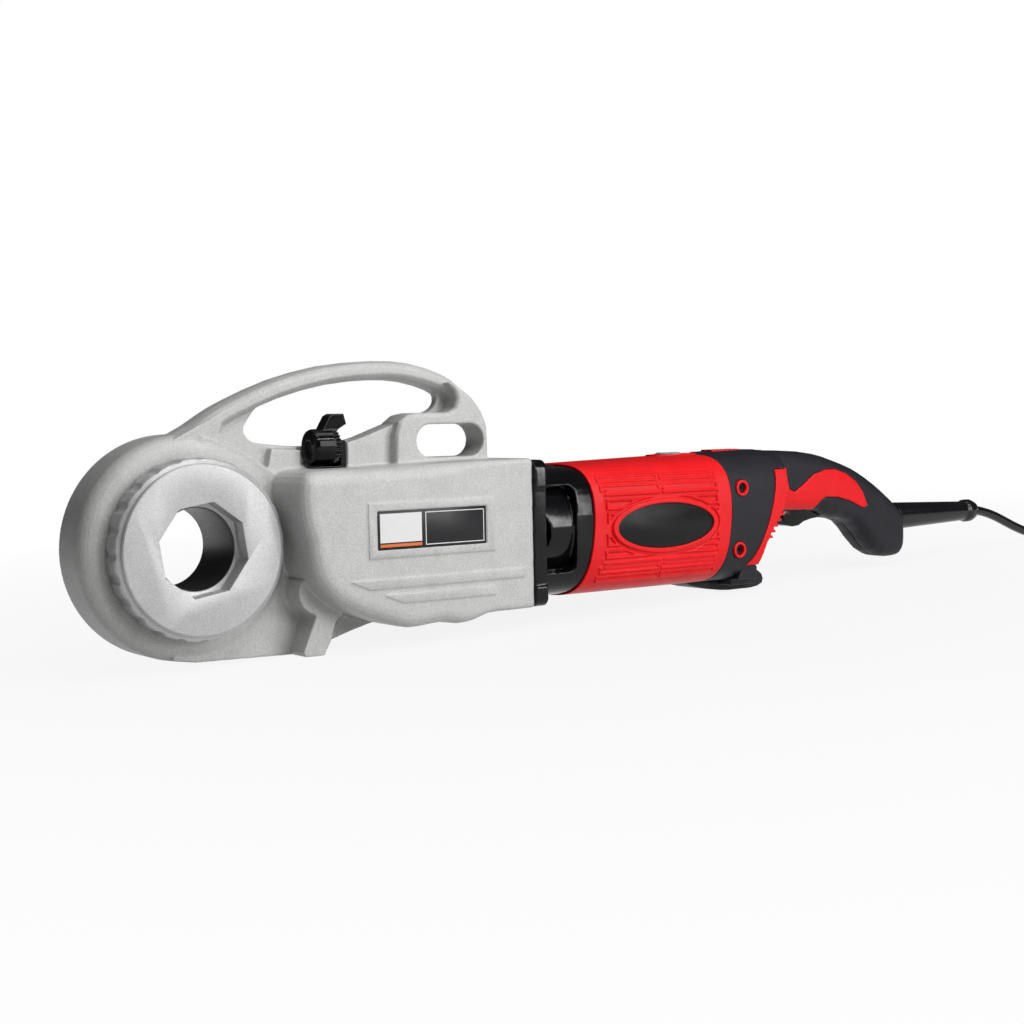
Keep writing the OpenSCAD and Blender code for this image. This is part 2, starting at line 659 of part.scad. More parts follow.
// ---- Latch on the head ----
latch_plate_x = latch_x[1] - 4.5;
module latch_base() color("black") difference() {
    union() {
        block([latch_x[0] + 2, latch_y - 8.5, latch_floor], [latch_x[1], latch_y + 9, latch_floor + 1.5]);
        slab(latch_y - 8.5, latch_y + 9) polygon([
            [latch_plate_x, latch_floor + 1], [latch_x[1], latch_floor + 1], [latch_x[1], latch_z + 3],
            [latch_x[1] - 1.4, latch_z + 4.4], [latch_plate_x, latch_z + 4.4]
        ]);
    }
    rod_x(latch_plate_x - 1, latch_x[1] + 1, latch_pin_r, latch_y, latch_z);
}
module latch_pin() color("dimgray") rod_x(latch_x[0] + 3, latch_x[1] - 0.2, latch_pin_r - 0.02, latch_y, latch_z);
module latch_knob() color("black") difference() {
    union() {
        translate([latch_x[0] + 2.5, latch_y, latch_z]) rotate([0, 90, 0]) rotate_extrude() polygon([
            [0, 0], [latch_drum_r - 3, 0], [latch_drum_r - 0.8, 1], [latch_drum_r, 3], [latch_drum_r, 15.5], [0, 15.5]
        ]);
        // Serrated collar
        translate([0, latch_y, latch_z]) along_x(latch_x[0] + 17, latch_plate_x - 0.5) spur(28, 0.82);
        // Thumb tab
        slab(latch_y - 5, latch_y + 5) polygon([
            [latch_x[0] + 10, latch_z + 9], [latch_x[0] + 12, latch_z + 13], [latch_x[0] + 16.5, latch_z + 20.5],
            [latch_x[0] + 19.5, latch_z + 22], [latch_x[0] + 27.5, latch_z + 22], [latch_x[0] + 29.5, latch_z + 15],
            [latch_x[0] + 24, latch_z + 12], [latch_x[0] + 21.5, latch_z + 10], [latch_x[0] + 18, latch_z + 8]
        ]);
    }
    rod_x(latch_x[0], latch_x[1], latch_pin_r + run_gap, latch_y, latch_z);
}

// ---- Motor ----
function motor_top(x) = motor_top_front
    + (motor_top_rear - motor_top_front) * (x - housing_start) / (body_end - housing_start);
// Section of the motor at x, drawn in by less
function motor_ring(x, less) = let (top = motor_top(x) - less, low = less - motor_bottom)
    [for (q = soft_box(motor_half_w - less, (top - low) / 2, 4, 48)) [x, motor_y + q[0], (top + low) / 2 + q[1]]];
module motor_form(x0, x1, less = 0) skin([motor_ring(x0, less), motor_ring(x1, less)]);
// Round cutter whose right edge is the curved seam with its middle at x
module seam(x) rod_y(-80, 80, edge_r, x - edge_r, edge_z, $fn = 180);

module at_flange_bolts() for (a = [45 : 90 : 315])
    translate([0, motor_y + flange_bolt_r * cos(a), flange_bolt_r * sin(a)]) children();

module motor_flange() color("black") difference() {
    along_x(case_end, flange_end) translate([motor_y, 0]) difference() {
        translate([0, -2.2]) offset(r = 7, $fn = 32) square([motor_half_w * 2 - 13, 89.5], center = true);
        // The sides are sunk between the top and bottom lugs
        for (s = [-1, 1]) translate([s * (motor_half_w + 0.2), -5]) square([1.4, 69], center = true);
    }
    rod_x(case_end - 1, front_bearing_x[1], bearing_r);
    rod_x(case_end - 1, front_bearing_x[1], 9, counter_y);
    rod_x(case_end - 1, flange_end + 1, 7);
    at_flange_bolts() rod_x(case_end - 1, flange_end + 1, screw_r, 0);
}

module flange_bolts() color("dimgray") at_flange_bolts() {
    rod_x(chamber_x[1] + 0.5, flange_end + eps, screw_r - run_gap, 0);
    difference() {
        rod_x(flange_end, flange_end + 4.5, screw_head_r, 0);
        rod_x(flange_end + 2, flange_end + 5, 2.3, 0, $fn = 6);
    }
}

nose_less = 1.2;
nose_window = [[flange_end, 279], [-31, 30.5]];
module motor_nose() color("black") difference() {
    intersection() {
        union() {
            difference() {
                motor_form(flange_end, housing_start + 10, nose_less);
                // Sunk panels on both sides
                for (s = [-1, 1]) translate([0, motor_y + s * 45, 0]) slab(-20, 20) hull() {
                    translate([nose_window[0][0] - 5, nose_window[1][0]])
                        square([1, nose_window[1][1] - nose_window[1][0]]);
                    for (z = nose_window[1]) translate([nose_window[0][1] - 6, z - 6 * sign(z)]) circle(r = 6, $fn = 32);
                }
            }
            rod_x(flange_end, housing_start - 5, motor_bore + 1.6);
        }
        seam(housing_start);
    }
    rod_x(flange_end - 1, housing_start + 1, motor_bore);
    // Air outlet in each panel
    for (s = [-1, 1]) rod_y(motor_y + s * 45 - 12, motor_y + s * 45 + 12, 17, flange_end - 10, -3);
}

// One raised frame of the grip pattern on the motor's sides
module slot_bar(x0, x1, z0, z1) difference() {
    translate([x0, z0]) square([x1 - x0, z1 - z0]);
    translate([x0 + 1.3, z0 + 1.3]) square([x1 - x0 - 2.6, z1 - z0 - 2.6]);
}
bar_pitch = 6.6;
bar_t = 4.8;
grid_x = [299, 413];
grid_mid = 357;
grid_top = 36;
module slot_grid() difference() {
    for (k = [0 : 11]) {
        z = grid_top - k * bar_pitch;
        inset_x = [0, 1.5, 4.5, 6.5, 8, 9, 9, 8, 6.5, 4.5, 1.5, 0][k];
        slot_bar(grid_x[0] + inset_x - (k > 5 ? 2 : 0), grid_mid - 1, z - bar_t, z);
        slot_bar(grid_mid + 1, grid_x[1] + (k < 6 ? 1 : -1), z - bar_t, z);
    }
    translate(badge_mid) scale([ring_size[0] + 2.5, ring_size[1] + 2.5]) circle(r = 1, $fn = 72);
}
module oval(size) translate(badge_mid) scale(size) circle(r = 1, $fn = 72);

boss_x = [388, 432];
knob_at = [407, 0];
knob_r = 11;
// Low boss that carries the direction knob
module knob_boss(gap = 0) translate([0, motor_y, 0]) hull() for (x = [boss_x[0] + 13, boss_x[1] - 13])
    translate([x, 0, 40]) cylinder(h = motor_top(x) + 0.8 - 40, r = 13 + gap, $fn = 32);

module motor_housing() color("red") difference() {
    union() {
        intersection() {
            union() {
                motor_form(housing_start - 25, housing_end + 2);
                // Raised pattern on both sides, and the raised ring around the badge
                intersection() {
                    motor_form(housing_start - 25, housing_end + 2, -0.9);
                    union() {
                        for (s = [-1, 1]) translate([0, motor_y + s * motor_half_w, 0]) slab(-9, 9) slot_grid();
                        translate([0, motor_y - motor_half_w, 0]) slab(-9, 9) difference() {
                            oval(ring_size);
                            oval(badge_size);
                        }
                    }
                }
            }
            seam(housing_end);
        }
        knob_boss();
    }
    seam(housing_start);
    rod_x(housing_start - 30, bore_end, motor_bore);
    rod_x(bore_end - 1, rear_bearing_x[1], bearing_r);
    rod_x(bore_end - 1, housing_end + 1, 7);
    // Seat of the badge, and of the knob
    translate([0, motor_y - motor_half_w, 0]) slab(-3, 1.2) oval(badge_size + [0.2, 0.2]);
    translate([knob_at[0], motor_y, 44.5]) cylinder(h = 20, r = knob_r + seat_gap);
}

module side_badge() color("black") intersection() {
    motor_form(housing_start, housing_end, 0);
    translate([0, motor_y - motor_half_w, 0]) slab(-3, 1.2) oval(badge_size);
}

module stator() color("saddlebrown") {
    along_x(core_x[0] - 3, core_x[1] + 3) translate([motor_y, 0]) difference() {
        circle(r = motor_bore - 0.1);
        circle(r = armature_r + 1);
        for (s = [-1, 1]) translate([s * 33, 0]) square([10, 34], center = true);
    }
}

module armature_shaft() color("gray") {
    pinion_end = pinion_x[1] + 1.5;
    translate([0, motor_y, 0]) along_x(pinion_x[0], pinion_end) rotate(180) spur(motor_teeth, motor_module);
    rod_x(pinion_end - eps, rear_bearing_x[1] - 0.5, shaft_seat_r);
    rod_x(front_bearing_x[1], rear_bearing_x[0], shaft_r);
}

module armature_core() color("peru") along_x(core_x[0], core_x[1]) translate([motor_y, 0]) difference() {
    circle(r = armature_r);
    circle(r = shaft_r + eps);
    for (i = [0 : 11]) rotate(30 * i) translate([armature_r, 0]) square([10, 2.4], center = true);
}

module commutator() color("orange") along_x(commutator_x[0], commutator_x[1]) translate([motor_y, 0]) difference() {
    circle(r = 14);
    circle(r = shaft_r + eps);
    for (i = [0 : 23]) rotate(15 * i) translate([14, 0]) square([3, 0.7], center = true);
}

module cooling_fan() color("white") {
    along_x(fan_x[1] - 2, fan_x[1]) translate([motor_y, 0]) difference() {
        circle(r = 38);
        circle(r = shaft_r + eps);
    }
    along_x(fan_x[0], fan_x[1] - 2 + eps) translate([motor_y, 0]) {
        difference() {
            circle(r = 11);
            circle(r = shaft_r + eps);
        }
        for (i = [0 : 11]) rotate(30 * i) translate([10.5, -0.8]) square([27, 1.6]);
    }
}

module motor_bearings() {
    bearing_x(front_bearing_x[0], motor_y, 0, shaft_seat_r + run_gap, bearing_r - eps);
    bearing_x(rear_bearing_x[0], motor_y, 0, shaft_seat_r + run_gap, bearing_r - eps);
}

brush_x = [378, 386];
module brush_holders() color("goldenrod") for (s = [-1, 1]) mirror([0, 0, s < 0 ? 1 : 0]) difference() {
    block([brush_x[0] - 3, motor_y - 7, 16], [brush_x[1] + 3, motor_y + 7, motor_bore - 0.7]);
    block([brush_x[0] - 0.2, motor_y - 3.7, 15], [brush_x[1] + 0.2, motor_y + 3.7, 38]);
}
module carbon_brushes() color("dimgray") for (s = [-1, 1]) mirror([0, 0, s < 0 ? 1 : 0])
    block([brush_x[0], motor_y - 3.5, 14.2], [brush_x[1], motor_y + 3.5, 34]);

// ---- Rear body and grip ----
// Rear wall of the wide body, from the top down
rear_wall = [[body_end, 55], [489, 34], [486, 18], [482.5, 4], [475.5, -6], [467.5, -17], [458.5, -38], [452, -52]];
// Front edge of the vent strips, from the top down
strip_front = [[477, 35], [475, 20], [471, 4], [466.5, -8], [460, -21], [452, -33], [446, -38.5]];
screw_at = [[439.5, 22], [436.3, -25.5]];
pad_x = [441, 487];
pad_half_w = 14;
slider_x = [447, 477];
slider_half_w = 6.5;
slider_travel = 5;

// Stations of the grip: place along the motor, top, underside, half width
grip_stations = [
    [455, 47, -2, 17], [490, 48.8, -2, 18], [515, 48.8, -2, 19], [540, 47.3, -2.5, 19], [558, 44.8, -3.5, 19],
    [566, 43, -7, 19], [576, 40, -9.5, 19], [588, 36.3, -11, 18.8], [600, 32, -15, 18.6], [609, 28, -22.5, 18.4],
    [617, 24, -31.5, 18.2], [626, 19, -40, 18], [636, 12.5, -45, 18], [645, 6, -46.4, 17.8],
    [652, 0.5, -46.4, 17.5], [657, -3.5, -45.8, 17], [660.3, -6, -43.5, 15.5], [grip_end, -9, -40, 13.5]
];
// Cross-section of the grip at station s, less its wall
function grip_ring(s, less) = [
    for (q = soft_box(s[3] - less, (s[1] - s[2]) / 2 - less, 3.6, 24))
        [s[0], handle_y + q[0] * grip_half_w / 19, (s[1] + s[2]) / 2 + q[1]]
];
module grip_form(less = 0) skin([for (s = grip_stations) grip_ring(s, less)]);

panel_outline = [
    [480, 35], [516, 35], [517.5, 27], [520, 17], [526, 14.5], [535, 19.5], [549, 28.5], [562, 31.5], [574, 31.5],
    [587, 27.5], [598, 21], [606.5, 11.5], [612.5, -0.5], [606.5, -2], [591, 4.5], [575, 8.5], [562, 9], [556, 5.5],
    [552, 0], [545, -4], [480, -4]
];
panel_depth = handle_y - grip_half_w + 6;

strip_tooth = 1.7;             // how far the teeth of the vent strips stick out
module strip_outline(tooth) {
    edge = smooth_open([[489.5, 35], [486.5, 18], [482.5, 4], [475.5, -6], [467.5, -17], [459, -38.5]], 5);
    polygon(concat(
        smooth_open(strip_front, 2),
        [for (i = [len(edge) - 1 : -1 : 0]) edge[i] + [i > 3 && i < 22 && i % 2 == 0 ? tooth : 0, 0]]
    ));
}

module body_solid() {
    intersection() {
        difference() {
            motor_form(housing_end - 25, 505);
            seam(housing_end);
        }
        slab(-80, 80) polygon(concat([[380, -60], [380, 60]], rear_wall, [[448, -60]]));
    }
    grip_form();
    // Raised pad around the slider
    hull() for (x = [pad_x[0] + 3, pad_x[1] - 3]) translate([x, motor_y, 40])
        linear_extrude(motor_top(x) + 0.6 - 40, scale = [0.95, 0.9]) square([6, 2 * pad_half_w], center = true);
}

module body_half(side) difference() {
    intersection() {
        body_solid();
        block([380, side < 0 ? -90 : motor_y, -90], [700, side < 0 ? motor_y : 90, 90]);
    }
    knob_boss(0.1);
    // Seats of the vent strip and the grip panel
    translate([0, motor_y + side * (motor_half_w - 8) + side * 20, 0]) slab(-20, 20) offset(delta = 0.01) strip_outline(strip_tooth);
    slab(side < 0 ? -60 : 2 * handle_y - panel_depth, side < 0 ? panel_depth : 60) polygon(panel_outline);
    // Rear end of the armature, the foot's screws and the two body screws
    rod_x(housing_end - 8, housing_end + 6, 8);
    for (p = screw_at) {
        rod_y(-60, 20, screw_r, p[0], p[1]);
        rod_y(-60, -52, 6.2, p[0], p[1]);
    }
    // Pockets of the trigger and the switch
    slab(handle_y - trigger_half_w - move_gap, handle_y + trigger_half_w + move_gap)
        polygon([[523.3, -10], [523.3, 13], [567.5, 13], [567.5, -10]]);
    block([522, handle_y - 11, 13 - eps], [568, handle_y + 11, 36]);
    rod_y(handle_y - 12, handle_y + 12, 2, trigger_pivot[0], trigger_pivot[1]);
    // Slot of the lock slider
    block([slider_x[0] - 0.5, motor_y - slider_half_w - seat_gap, 45.8],
        [slider_x[1] + slider_travel + 0.5, motor_y + slider_half_w + seat_gap, 60]);
    // Throat of the strain relief
    rod_x(grip_end - 16, grip_end + 1, 8.3, handle_y, relief_z);
    rod_x(grip_end - 15, grip_end - 9, 10.3, handle_y, relief_z);
}
module body_left() color([0.2, 0.2, 0.23]) body_half(-1);
module body_right() color([0.2, 0.2, 0.23]) body_half(1);

module vent_strip(side) color("red") intersection() {
    motor_form(430, 500, -0.5);
    translate([0, motor_y + side * (motor_half_w - 8) + side * 20, 0]) slab(-20, 20) strip_outline(strip_tooth);
}
module vent_strip_left() vent_strip(-1);
module vent_strip_right() vent_strip(1);

module grip_panel(side) color("red") intersection() {
    grip_form(-0.4);
    slab(side < 0 ? -60 : 2 * handle_y - panel_depth, side < 0 ? panel_depth : 60)
        difference() {
            polygon(panel_outline);
            square([rear_wall[1][0] + 1, 200], center = false);
            translate([0, -100]) square([rear_wall[1][0] + 1, 200]);
        }
}
module grip_panel_left() grip_panel(-1);
module grip_panel_right() grip_panel(1);

module body_screws() color("dimgray") for (p = screw_at) {
    rod_y(-54, 18, screw_r - run_gap, p[0], p[1]);
    difference() {
        rod_y(-56, -52.5, 3.9, p[0], p[1]);
        rod_y(-57, -54.5, 2, p[0], p[1], $fn = 6);
    }
}
module screw_rings() color("red") for (p = screw_at) difference() {
    rod_y(-58.4, -52.2, 6.15, p[0], p[1]);
    rod_y(-60, -50, 4.2, p[0], p[1]);
}

module foot() color([0.12, 0.12, 0.13]) slab(handle_y - 18, handle_y + 18) polygon([
    [408, -motor_bottom], [414, -53.8], [430, -57.5], [444, -59.4], [452, -foot_z], [foot_x + 6, -foot_z], [484, -59],
    [489, -57], [490.5, -53.5], [489, -49.5], [485, -46.5], [474, -44.5], [460, -45], [453.5, -motor_bottom]
]);

module trigger() color("black") difference() {
    slab(handle_y - trigger_half_w, handle_y + trigger_half_w) polygon([
        [524, 4], [524.2, -3], [525.2, -9], [527.5, -13], [535, -14.6], [542, -14], [548, -11], [556, -9.2], [566.5, -8.2],
        [566.5, 5], [561, 7.5], [545, 7.5]
    ]);
    rod_y(-40, 40, 2 + run_gap, trigger_pivot[0], trigger_pivot[1]);
}
module trigger_pin() color("gray") rod_y(handle_y - 11.8, handle_y + 11.8, 1.98, trigger_pivot[0], trigger_pivot[1]);
module switch_block() color("dimgray") block([523, handle_y - 10.7, 14.5], [567, handle_y + 10.7, 35.7]);

module direction_knob() color("lightgray") translate([knob_at[0], motor_y, 0]) difference() {
    union() {
        translate([0, 0, 45]) cylinder(h = 4, r = knob_r);
        translate([0, 0, 49 - eps]) cylinder(h = 1, r1 = knob_r, r2 = knob_r - 1);
    }
    for (s = [-1, 1]) translate([0, s * 6.5, 50.4]) cube([30, 6, 2.6], center = true);
}

module lock_slider() color("red") difference() {
    block([slider_x[0], motor_y - slider_half_w, 46.3], [slider_x[1], motor_y + slider_half_w, 51]);
    for (k = [0 : 4]) block([slider_x[0] + 5 + 4.6 * k, motor_y - 10, 50.4], [slider_x[0] + 7 + 4.6 * k, motor_y + 10, 53]);
}

module strain_relief() color("black") difference() {
    translate([grip_end, handle_y, relief_z]) rotate([0, 90, 0]) rotate_extrude() polygon([
        [0, -14.8], [10, -14.8], [10, -9.3], [8, -9.3], [8, 0], [11.8, 0], [8.6, relief_len - 17], [8.6, relief_len - 15],
        [10, relief_len - 12], [10, relief_len - 6], [8, relief_len - 1], [7, relief_len], [0, relief_len]
    ]);
    rod_x(grip_end + relief_len - 14, grip_end + relief_len + 1, cord_d / 2 + 0.3, handle_y, relief_z);
}

// ---- Lead ----
cord_sides = 10;
module tube(points, r, sides) {
    n = len(points);
    skin([for (i = [0 : n - 1]) let (
        t = unit(points[min(i + 1, n - 1)] - points[max(i - 1, 0)]),
        u = unit(cross([0, 0, 1], t)),
        v = cross(t, u)
    ) [for (k = [0 : sides - 1]) let (a = 360 * k / sides) points[i] + r * (cos(a) * u + sin(a) * v)]]);
}
module power_cord() color("black") tube(cord_points, cord_d / 2, cord_sides);
module cord_coil() color("black") translate([coil_mid[0], coil_mid[1], floor_z + eps]) rotate_extrude()
    translate([coil_r, coil_rows[1] * cord_d / 2]) difference() {
        square([coil_rows[0] * cord_d, coil_rows[1] * cord_d], center = true);
        for (x = [-1, 1]) for (z = [-1, 1])
            translate([x * coil_rows[0] * cord_d / 2, z * coil_rows[1] * cord_d / 2]) rotate(45) square(4, center = true);
    }
// Strap over the coil
module coil_tie() color("black") difference() {
    block([coil_mid[0] - 4, coil_mid[1] + coil_r - 13.2, floor_z + eps],
        [coil_mid[0] + 4, coil_mid[1] + coil_r + 13.2, floor_z + coil_rows[1] * cord_d + 1]);
    block([coil_mid[0] - 5, coil_mid[1] + coil_r - 12.4, floor_z - 1],
        [coil_mid[0] + 5, coil_mid[1] + coil_r + 12.2, floor_z + coil_rows[1] * cord_d + 0.2]);
}
module plug_lead() color("black") rod_x(plug_at[0] - 34, plug_at[0], cord_d / 2, plug_at[1], plug_z);
module plug_body() color("black") translate([plug_at[0], plug_at[1], plug_z]) {
    rotate([0, 90, 0]) cylinder(h = 16, r1 = 5.5, r2 = 7.5);
    block([15, -12, -9 + eps], [38, 12, 9]);
}
module plug_blades() color("silver") translate([plug_at[0], plug_at[1], plug_z]) for (s = [-1, 1])
    block([38, s * 6.35 - 0.8, -3.2], [55.5, s * 6.35 + 0.8, 3.2]);

place() gear_housing();
place() rear_cover();
place() cover_screws();
place() ring_retainer();
place() snap_ring();
place() front_bush();
place() rear_bush();
place() drive_ring();
place() ring_gear();
place() idler_pin();
place() idler_gear();
place() cross_shaft();
place() cross_pinion();
place() bevel_gear();
place() cross_bearings();
place() counter_shaft();
place() counter_gear();
place() counter_bearings();
place() bearing_bridge();
place() label_plate();
place() latch_base();
place() latch_pin();
place() latch_knob();
place() motor_flange();
place() flange_bolts();
place() motor_nose();
place() motor_housing();
place() side_badge();
place() stator();
place() armature_shaft();
place() armature_core();
place() commutator();
place() cooling_fan();
place() motor_bearings();
place() brush_holders();
place() carbon_brushes();
place() body_left();
place() body_right();
place() vent_strip_left();
place() vent_strip_right();
place() grip_panel_left();
place() grip_panel_right();
place() body_screws();
place() screw_rings();
place() foot();
place() trigger();
place() trigger_pin();
place() switch_block();
place() direction_knob();
place() lock_slider();
place() strain_relief();
power_cord();
cord_coil();
coil_tie();
plug_lead();
plug_body();
plug_blades();
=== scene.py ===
import bpy, bmesh, json, math
from mathutils import Vector, Matrix


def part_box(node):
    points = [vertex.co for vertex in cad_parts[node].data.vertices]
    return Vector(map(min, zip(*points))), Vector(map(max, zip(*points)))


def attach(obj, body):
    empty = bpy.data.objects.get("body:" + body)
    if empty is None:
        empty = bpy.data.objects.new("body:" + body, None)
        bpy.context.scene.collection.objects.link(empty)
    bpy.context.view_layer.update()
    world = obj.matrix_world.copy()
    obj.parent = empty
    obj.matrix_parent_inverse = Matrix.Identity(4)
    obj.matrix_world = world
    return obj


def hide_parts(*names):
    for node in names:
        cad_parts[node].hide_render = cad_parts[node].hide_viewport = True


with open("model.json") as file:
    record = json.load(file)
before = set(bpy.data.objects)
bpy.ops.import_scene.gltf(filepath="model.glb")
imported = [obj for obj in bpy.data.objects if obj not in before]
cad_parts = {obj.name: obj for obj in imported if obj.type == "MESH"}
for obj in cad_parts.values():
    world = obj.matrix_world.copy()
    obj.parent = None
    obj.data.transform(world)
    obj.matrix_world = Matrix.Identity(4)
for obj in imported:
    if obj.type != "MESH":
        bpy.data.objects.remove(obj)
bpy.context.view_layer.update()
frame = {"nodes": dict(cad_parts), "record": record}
nodes = frame["nodes"]
MM = 0.001

# ---- Tool frame ----
# As in part.scad: the drive axis is Y, the tool lies along X, and the whole of it leans
# back about the drive axis until the heel and the foot stand on the floor.
HEEL_X, HEEL_Z = 88, -75
FOOT_X, FOOT_Z = 470, -60
LEAN = math.atan((FOOT_Z - HEEL_Z) / (FOOT_X - HEEL_X))
COS, SIN = math.cos(LEAN), math.sin(LEAN)
FLOOR = -(HEEL_X * SIN - HEEL_Z * COS)


def tool(x, y, z):
    """Point of the tool's own frame, in mm, as a point of the row's frame, in metres."""
    return Vector((x * COS + z * SIN, y, -x * SIN + z * COS)) * MM


# ---- Camera ----
EYE = (-453.82, -1000.18, 79.27)  # in the tool's own frame, in mm
YAW, PITCH, ROLL = 35.6219, 3.2154, -1.1377
FOCAL, SENSOR = 58.92, 36


def set_camera():
    yaw, pitch, roll = (math.radians(a) for a in (YAW, PITCH, ROLL))
    ahead = Vector((math.sin(yaw), math.cos(yaw), 0))
    right = Vector((math.cos(yaw), -math.sin(yaw), 0))
    up = Vector((0, 0, 1))
    look = ahead * math.cos(pitch) - up * math.sin(pitch)
    level_top = up * math.cos(pitch) + ahead * math.sin(pitch)
    side = right * math.cos(roll) + level_top * math.sin(roll)
    top = -right * math.sin(roll) + level_top * math.cos(roll)
    lean = Matrix(((COS, 0, SIN), (0, 1, 0), (-SIN, 0, COS)))
    place = Matrix([lean @ v for v in (side, top, -look)]).transposed().to_4x4()
    place.translation = tool(*EYE)
    data = bpy.data.cameras.new("camera")
    data.lens, data.sensor_width = FOCAL, SENSOR
    camera = bpy.data.objects.new("camera", data)
    bpy.context.scene.collection.objects.link(camera)
    camera.matrix_world = place
    bpy.context.scene.camera = camera


set_camera()


# ---- Material helpers ----
class Tree:
    """A node tree, with short ways to add to it."""

    def __init__(self, tree):
        self.tree = tree

    def feed(self, node, key, value):
        """Gives an input of a node a plain value, or links another node's output to it."""
        if hasattr(value, "is_output"):
            self.tree.links.new(value, node.inputs[key])
        else:
            node.inputs[key].default_value = value

    def add(self, kind, **sockets):
        node = self.tree.nodes.new(kind)
        for key, value in sockets.items():
            self.feed(node, key.replace("_", " "), value)
        return node

    def calc(self, operation, a, b=0.0):
        node = self.add("ShaderNodeMath")
        node.operation = operation
        self.feed(node, 0, a)
        self.feed(node, 1, b)
        return node.outputs[0]

    def mix(self, share, first, second):
        """Shader that goes from the first to the second as share goes from 0 to 1."""
        node = self.add("ShaderNodeMixShader")
        for i, value in enumerate((share, first, second)):
            self.feed(node, i, value)
        return node.outputs[0]


class Finish(Tree):
    """A material over object coordinates, with short ways to vary it."""

    def __init__(self, name):
        self.mat = bpy.data.materials.new(name)
        self.mat.use_nodes = True
        super().__init__(self.mat.node_tree)
        self.bsdf = self.tree.nodes["Principled BSDF"]
        self.coord = self.add("ShaderNodeTexCoord").outputs["Object"]

    def set(self, **sockets):
        for key, value in sockets.items():
            self.feed(self.bsdf, key.replace("_", " "), value)

    def noise(self, scale, detail, rough=0.5):
        node = self.add("ShaderNodeTexNoise", Vector=self.coord, Scale=scale, Detail=detail,
                        Roughness=rough)
        return node.outputs["Fac"]

    def cells(self, scale, out):
        return self.add("ShaderNodeTexVoronoi", Vector=self.coord, Scale=scale).outputs[out]

    def ramp(self, fac, *stops):
        """Colour ramp over (position, colour) or (position, grey) stops."""
        node = self.add("ShaderNodeValToRGB", Fac=fac)
        elements = node.color_ramp.elements
        while len(elements) < len(stops):
            elements.new(0.5)
        for element, (position, value) in zip(elements, stops):
            element.position = position
            element.color = (*value, 1) if isinstance(value, tuple) else (value, value, value, 1)
        return node.outputs["Color"]

    def bump(self, height, distance, strength, normal=None):
        node = self.add("ShaderNodeBump", Height=height, Distance=distance, Strength=strength)
        if normal is not None:
            self.feed(node, "Normal", normal)
        return node.outputs["Normal"]


def cast_metal(name, dark, light, rough, grain, depth, metallic, painted_shade_bore=None):
    """Sand-cast metal: glittering grains over a slow mottle.

    grain is the number of grains over a metre and depth their height in mm. The last argument
    is a radius in mm round the drive axis. Within it the colour is painted near black, as
    painted shade and painted dark reflection inside the bore.
    """
    n = Finish(name)
    mottle = n.noise(55, 3)
    speck = n.add("ShaderNodeSeparateColor", Color=n.cells(grain, "Color")).outputs[0]
    shade = n.calc("ADD", n.calc("MULTIPLY", speck, 0.55), n.calc("MULTIPLY", mottle, 0.45))
    color = n.ramp(shade, (0.15, dark), (0.85, light))
    # Painted shade: within the bore's radius the colour ramps to near black, standing in for the
    # shade and dark reflection inside the bore
    if painted_shade_bore:
        place = n.add("ShaderNodeSeparateXYZ", Vector=n.coord).outputs
        square = n.calc("ADD", n.calc("MULTIPLY", place["X"], place["X"]),
                        n.calc("MULTIPLY", place["Z"], place["Z"]))
        # In tenths of a metre, so that the ramp's range of 0 to 1 takes in the ring
        reach = n.calc("MULTIPLY", n.calc("SQRT", square), 10)
        edge = painted_shade_bore * MM * 10
        share = n.ramp(reach, (edge, 0.0), (edge + 0.004, 1.0))
        color = n.add("ShaderNodeMixRGB", Fac=share, Color1=(0.03, 0.03, 0.03, 1),
                      Color2=color).outputs["Color"]
    n.set(Base_Color=color, Metallic=metallic,
          Roughness=n.ramp(n.noise(grain * 0.35, 2), (0.3, rough - 0.08), (0.7, rough + 0.1)))
    fine = n.bump(n.cells(grain, "Distance"), depth * MM, 0.9)
    n.set(Normal=n.bump(n.noise(grain * 0.3, 3), depth * 2 * MM, 0.5, fine))
    return n.mat


def moulded(name, color, rough, grain=1400, depth=0.03, vary=0.12, shine=0.5):
    """Moulded plastic with a fine spark-eroded grain and faint handling marks."""
    n = Finish(name)
    low = tuple(c * (1 - vary) for c in color)
    high = tuple(min(1, c * (1 + vary)) for c in color)
    n.set(Base_Color=n.ramp(n.noise(38, 3), (0.3, low), (0.7, high)),
          Roughness=n.ramp(n.noise(90, 5), (0.3, rough - 0.04), (0.75, rough + 0.07)),
          Specular_IOR_Level=shine)
    n.set(Normal=n.bump(n.noise(grain, 2, 0.6), depth * MM, 0.8))
    return n.mat


def printed(name, color, rough, vary=0.02, shine=0.5):
    """Smooth printed or enamelled plate."""
    return moulded(name, color, rough, 2500, 0.004, vary, shine)


def steel(name, color, rough):
    """Machined metal with fine drawn marks."""
    n = Finish(name)
    dull = tuple(c * 0.85 for c in color)
    n.set(Base_Color=n.ramp(n.noise(120, 4), (0.3, dull), (0.7, color)), Metallic=1.0,
          Roughness=n.ramp(n.noise(300, 3), (0.3, rough - 0.05), (0.7, rough + 0.08)))
    n.set(Normal=n.bump(n.noise(900, 2), 0.01 * MM, 0.6))
    return n.mat


